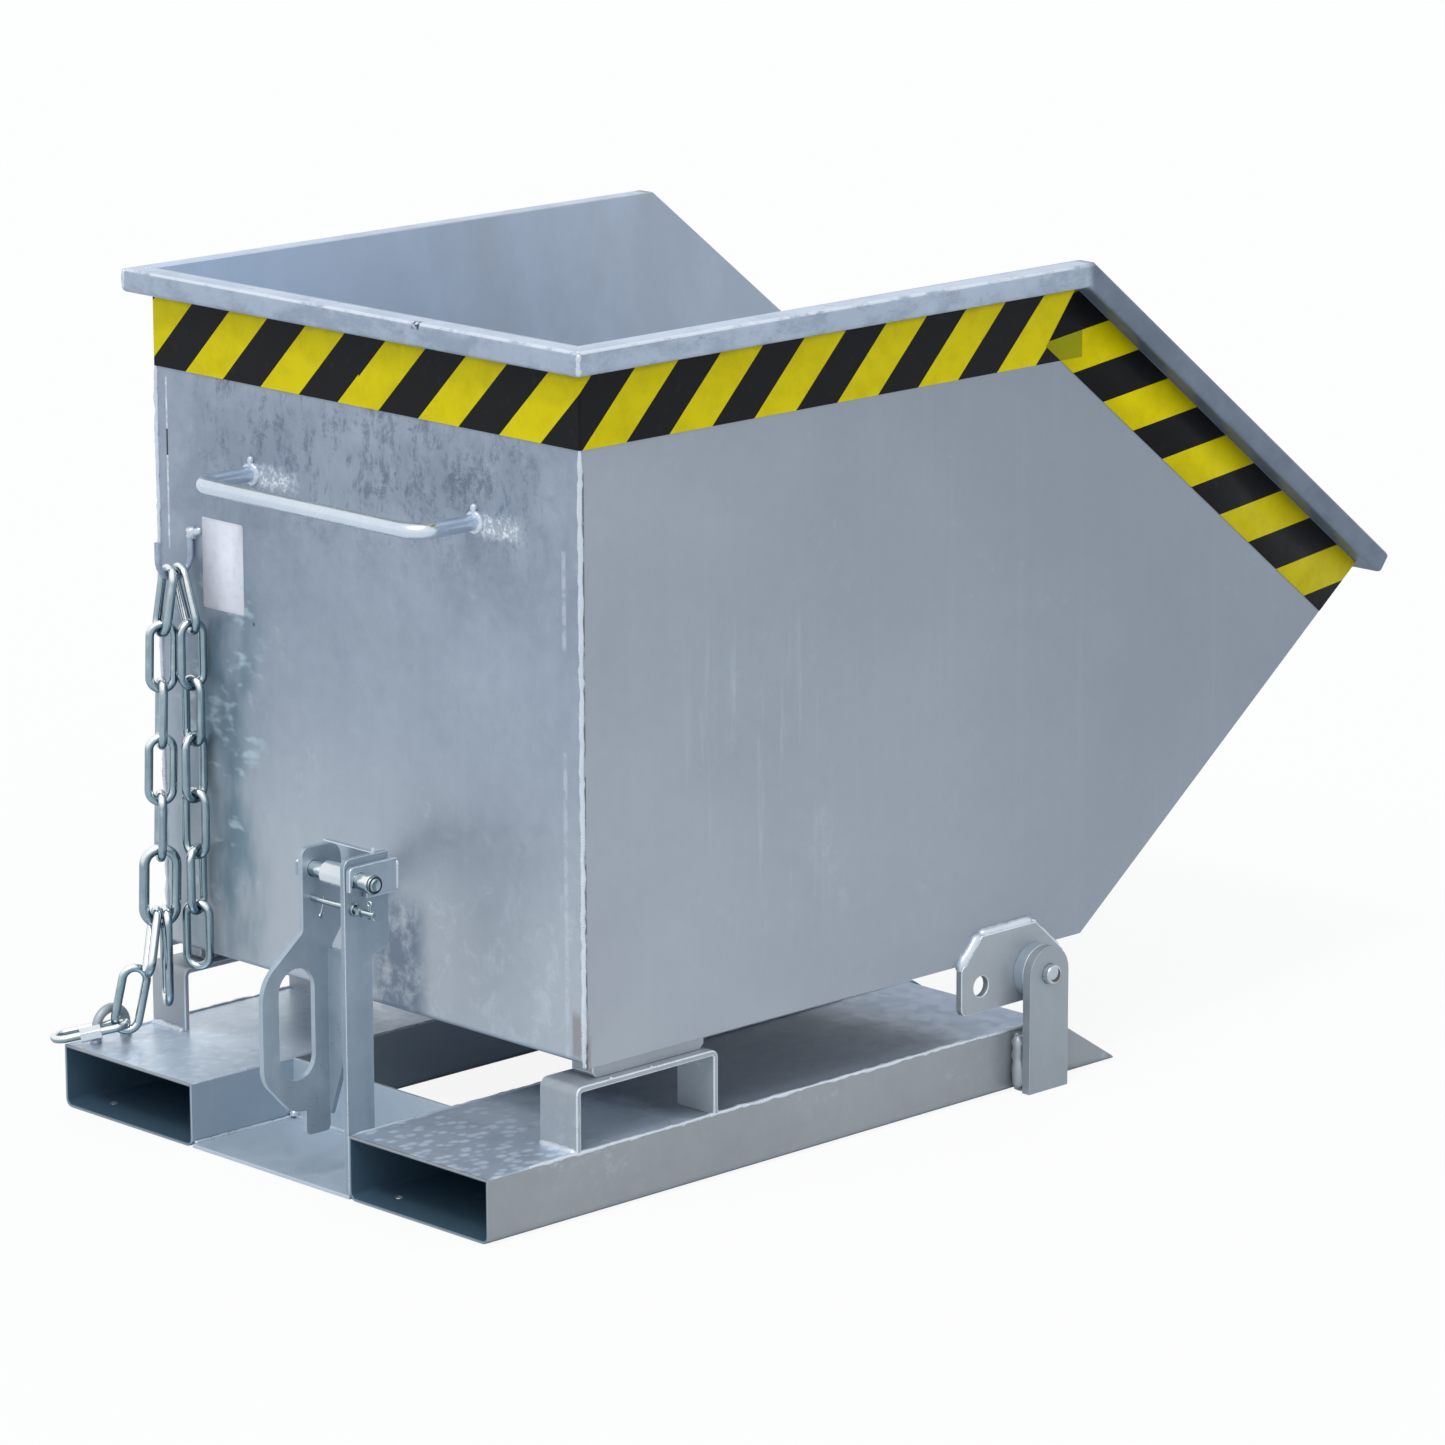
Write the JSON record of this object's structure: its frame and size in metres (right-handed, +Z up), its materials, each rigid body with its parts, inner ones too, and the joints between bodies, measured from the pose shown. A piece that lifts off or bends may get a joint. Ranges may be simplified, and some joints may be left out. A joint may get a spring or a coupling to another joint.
{
  "type": "tipping skip",
  "caption": "Forklift tipping skip: sloped galvanised bucket hinged on two fork pockets, with a hand latch, push handle and securing chain.",
  "frame": {"origin": "middle of the ground plate's underside, on the floor between the fork pockets at the fork entry end", "axes": "+X from the fork entry to the pouring lip, +Y to the side with the chain, +Z up"},
  "size_m": [1.3538, 0.712, 0.857],
  "materials": {
    "galvanised_sheet": "hot-dip galvanised sheet, satin, faint spangle and runs",
    "galvanised_bar": "hot-dip galvanised bar and plate, satin, with runs at the welds",
    "bright_zinc": "bright zinc-plated steel, glossy"
  },
  "bodies": {
    "frame": {"pocket_channel_left": "galvanised_sheet", "pocket_top_left": "galvanised_sheet", "rest_bracket_left": "galvanised_bar", "post_left": "galvanised_bar", "post_spacer_left": "galvanised_bar", "pivot_collar_left": "galvanised_bar", "pivot_pin_left": "bright_zinc", "pocket_channel_right": "galvanised_sheet", "pocket_top_right": "galvanised_sheet", "rest_bracket_right": "galvanised_bar", "post_right": "galvanised_bar", "post_spacer_right": "galvanised_bar", "pivot_collar_right": "galvanised_bar", "pivot_pin_right": "bright_zinc", "ground_plate": "galvanised_bar", "cross_plate_rear": "galvanised_bar", "cross_plate_front": "galvanised_bar", "latch_upright": "galvanised_bar", "latch_bolt": "bright_zinc", "latch_sleeve": "bright_zinc", "lock_rod": "bright_zinc", "chain_eye": "galvanised_bar"},
    "bucket": {"bucket_sheet": "galvanised_sheet", "side_wall_left": "galvanised_sheet", "pivot_ear_left": "galvanised_bar", "rest_shoe_left": "galvanised_bar", "side_wall_right": "galvanised_sheet", "pivot_ear_right": "galvanised_bar", "rest_shoe_right": "galvanised_bar", "rim_rear": "galvanised_bar", "rim_top_left": "galvanised_bar", "rim_top_right": "galvanised_bar", "rim_slope_left": "galvanised_bar", "rim_slope_right": "galvanised_bar", "rim_lip": "galvanised_bar", "push_handle": "galvanised_bar", "catch_bracket": "galvanised_bar", "chain_hook": "galvanised_bar"},
    "latch_lever": {"latch_lever": "galvanised_bar"},
    "chain_hank": {"chain_one_1": "bright_zinc", "chain_one_2": "bright_zinc", "chain_one_3": "bright_zinc", "chain_one_4": "bright_zinc", "chain_one_5": "bright_zinc", "chain_joining_link": "bright_zinc", "chain_lower_link": "bright_zinc", "chain_loose_link": "bright_zinc", "chain_two_1": "bright_zinc", "chain_two_2": "bright_zinc", "chain_two_3": "bright_zinc", "chain_two_4": "bright_zinc", "chain_two_5": "bright_zinc", "chain_two_6": "bright_zinc", "chain_two_7": "bright_zinc"},
    "quick_link": {"quick_link": "bright_zinc", "quick_link_nut": "bright_zinc", "chain_end_link": "bright_zinc"}
  },
  "joints": [
    {"name": "bucket_tilt", "type": "hinge", "parent": "frame", "child": "bucket", "pos_m": [0.693, 0, 0.125], "axis": [0, 1, 0], "range_deg": [0, 70]},
    {"name": "latch_release", "type": "hinge", "parent": "frame", "child": "latch_lever", "pos_m": [-0.052, -0.055, 0.322], "axis": [0, 1, 0], "range_deg": [0, 28]},
    {"name": "chain_swing", "type": "hinge", "parent": "bucket", "child": "chain_hank", "pos_m": [0.0417, 0.261, 0.5502], "axis": [1, 0, 0], "range_deg": [-12, 0]},
    {"name": "quick_link_swivel", "type": "hinge", "parent": "frame", "child": "quick_link", "pos_m": [-0.0395, 0.305, 0.079], "axis": [0, 0, 1], "range_deg": [0, 7]}
  ]
}
